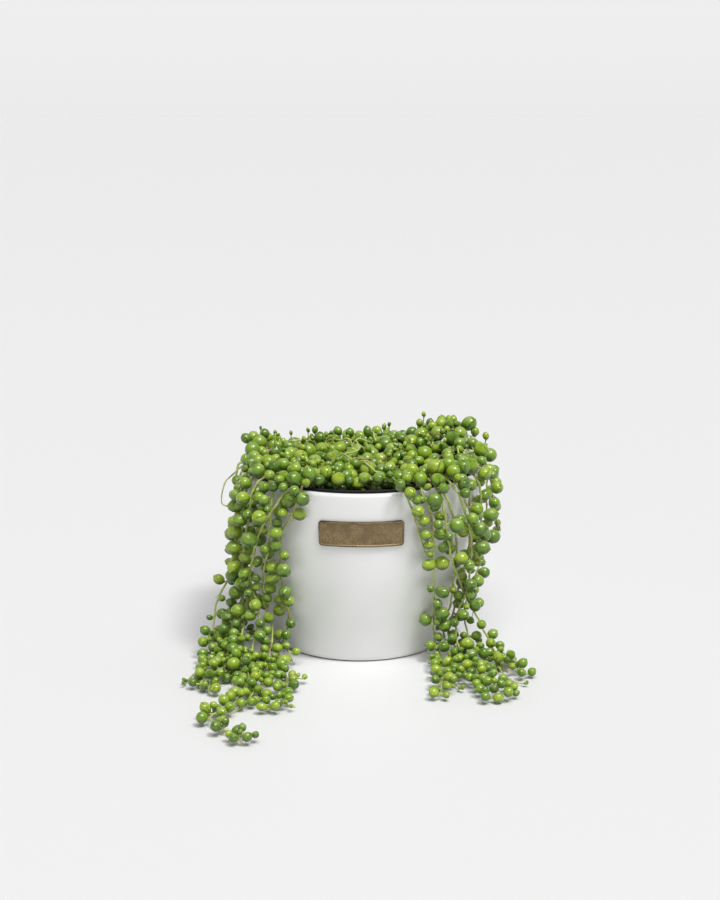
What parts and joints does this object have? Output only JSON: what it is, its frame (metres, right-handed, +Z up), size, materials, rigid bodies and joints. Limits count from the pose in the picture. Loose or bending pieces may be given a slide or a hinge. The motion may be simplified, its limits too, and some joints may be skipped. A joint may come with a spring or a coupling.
{
  "type": "potted trailing plant",
  "caption": "Potted string of pearls: a mat of round-leaved trailing strings in a liner of soil, spilling over the rim of a white glazed pot.",
  "frame": {"origin": "centre of the pot's flat underside", "axes": "+Z up along the pot's axis; -Y is the front, where the plate is; +X is to the right as seen from the front"},
  "size_m": [0.1815, 0.2413, 0.1206],
  "materials": {
    "ceramic_pot": "white satin glaze",
    "nursery_pot": "black plastic",
    "soil": "dark potting soil",
    "brass_plate": "aged, bare face with a raised border",
    "pearl": "smooth waxy skin"
  },
  "bodies": {
    "root": {"ceramic_pot": "ceramic_pot", "nursery_pot": "nursery_pot", "soil": "soil", "brass_plate": "brass_plate", "pearl_mat": "pearl", "string_left_01": "pearl", "string_left_02": "pearl", "string_left_03": "pearl", "string_left_04": "pearl", "string_left_05": "pearl", "string_left_06": "pearl", "string_left_07": "pearl", "string_left_08": "pearl", "string_left_09": "pearl", "string_left_10": "pearl", "string_right_01": "pearl", "string_right_02": "pearl", "string_right_03": "pearl", "string_right_04": "pearl", "string_right_05": "pearl", "string_right_06": "pearl", "string_right_07": "pearl", "string_right_08": "pearl", "string_right_09": "pearl", "string_right_10": "pearl", "string_back_01": "pearl", "string_back_02": "pearl", "string_back_03": "pearl", "string_back_04": "pearl", "string_back_05": "pearl", "string_back_06": "pearl"}
  },
  "joints": []
}
